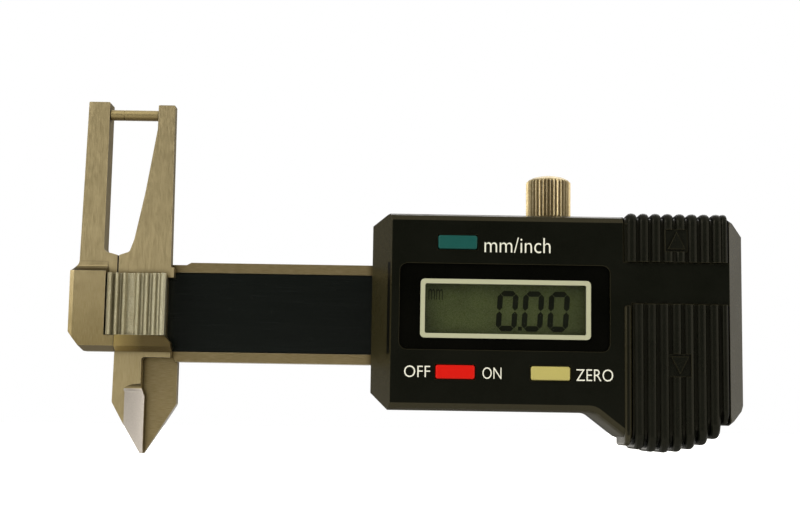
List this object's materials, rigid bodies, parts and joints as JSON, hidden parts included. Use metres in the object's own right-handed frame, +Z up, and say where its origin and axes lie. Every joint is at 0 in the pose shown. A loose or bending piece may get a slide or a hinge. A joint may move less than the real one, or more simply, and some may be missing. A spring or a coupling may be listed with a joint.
{
  "type": "digital tire tread gauge",
  "caption": "Pocket digital tread gauge: pin-tipped jaws above, knife jaws below, a sliding scale bar with a depth blade, a ribbed thumb pad and a display housing.",
  "frame": {"origin": "on the beam's flat back, on its centreline, in line with the anvils' contact plane at zero", "axes": "+X along the beam towards the display housing, +Y out of the back, +Z up to the pin-tipped arms"},
  "size_m": [0.1072, 0.0132, 0.0564],
  "materials": {
    "stainless": "satin brushed",
    "pad_steel": "bead blasted, ribbed",
    "hard_steel": "ground",
    "screw_steel": "turned",
    "brass": "machined",
    "housing": "satin moulded",
    "cover_strip": "printed film",
    "bezel": "satin",
    "lens": "clear",
    "panel": "grey-green liquid crystal",
    "board": "solder mask",
    "rubber": "matt",
    "resin": "cast",
    "teal": "satin",
    "red": "satin",
    "cream": "satin"
  },
  "bodies": {
    "frame": {"frame_beam": "stainless", "fixed_jaw": "stainless", "fixed_anvil_pin": "hard_steel", "fixed_jaw_screw_lower": "screw_steel", "fixed_jaw_screw_upper": "screw_steel", "housing_front_cover": "housing", "housing_back_plate": "housing", "housing_screw_upper_left": "screw_steel", "housing_screw_lower_left": "screw_steel", "housing_screw_upper_right": "screw_steel", "housing_screw_lower_right": "screw_steel", "display_bezel": "bezel", "display_lens": "lens", "lcd_panel": "panel", "zebra_connector": "rubber", "circuit_board": "board", "chip_resin_cap": "resin", "unit_snap_dome": "hard_steel", "power_snap_dome": "hard_steel", "zero_snap_dome": "hard_steel", "button_cell": "hard_steel", "cell_spring_contact": "brass", "cell_side_contact": "brass", "port_contact_block": "resin"},
    "slider": {"moving_jaw": "stainless", "moving_anvil_pin": "hard_steel", "thumb_pad": "pad_steel", "scale_bar": "stainless", "scale_cover": "cover_strip", "slider_screw_lower": "screw_steel", "slider_screw_upper": "screw_steel", "depth_blade": "stainless", "blade_rivet": "screw_steel"},
    "lock_screw": {"lock_screw": "screw_steel"},
    "lock_shoe": {"lock_shoe": "brass"},
    "unit_button": {"unit_button": "teal"},
    "power_button": {"power_button": "red"},
    "zero_button": {"zero_button": "cream"},
    "port_cover": {"port_cover": "housing"},
    "battery_cover": {"battery_cover": "housing"}
  },
  "joints": [
    {"name": "slider_slide", "type": "slide", "parent": "frame", "child": "slider", "axis": [1, 0, 0], "range_m": [0, 0.025]},
    {"name": "lock_screw_turn", "type": "hinge", "parent": "frame", "child": "lock_screw", "pos_m": [0.0692, -0.0016, 0.02], "axis": [0, 0, 1], "range_deg": [0, 180]},
    {"name": "lock_shoe_press", "type": "slide", "parent": "frame", "child": "lock_shoe", "axis": [0, 0, -1], "range_m": [0, 0.00016]},
    {"name": "unit_button_press", "type": "slide", "parent": "frame", "child": "unit_button", "axis": [0, 1, 0], "range_m": [0, 0.0005]},
    {"name": "power_button_press", "type": "slide", "parent": "frame", "child": "power_button", "axis": [0, 1, 0], "range_m": [0, 0.0005]},
    {"name": "zero_button_press", "type": "slide", "parent": "frame", "child": "zero_button", "axis": [0, 1, 0], "range_m": [0, 0.0005]},
    {"name": "port_cover_slide", "type": "slide", "parent": "frame", "child": "port_cover", "axis": [0, 0, 1], "range_m": [0, 0.005]},
    {"name": "battery_cover_slide", "type": "slide", "parent": "frame", "child": "battery_cover", "axis": [0, 0, -1], "range_m": [0, 0.012]}
  ],
  "couplings": [
    {"joint": "lock_shoe_press", "follows": "lock_screw_turn", "m_per_rad": 0.0000509}
  ]
}
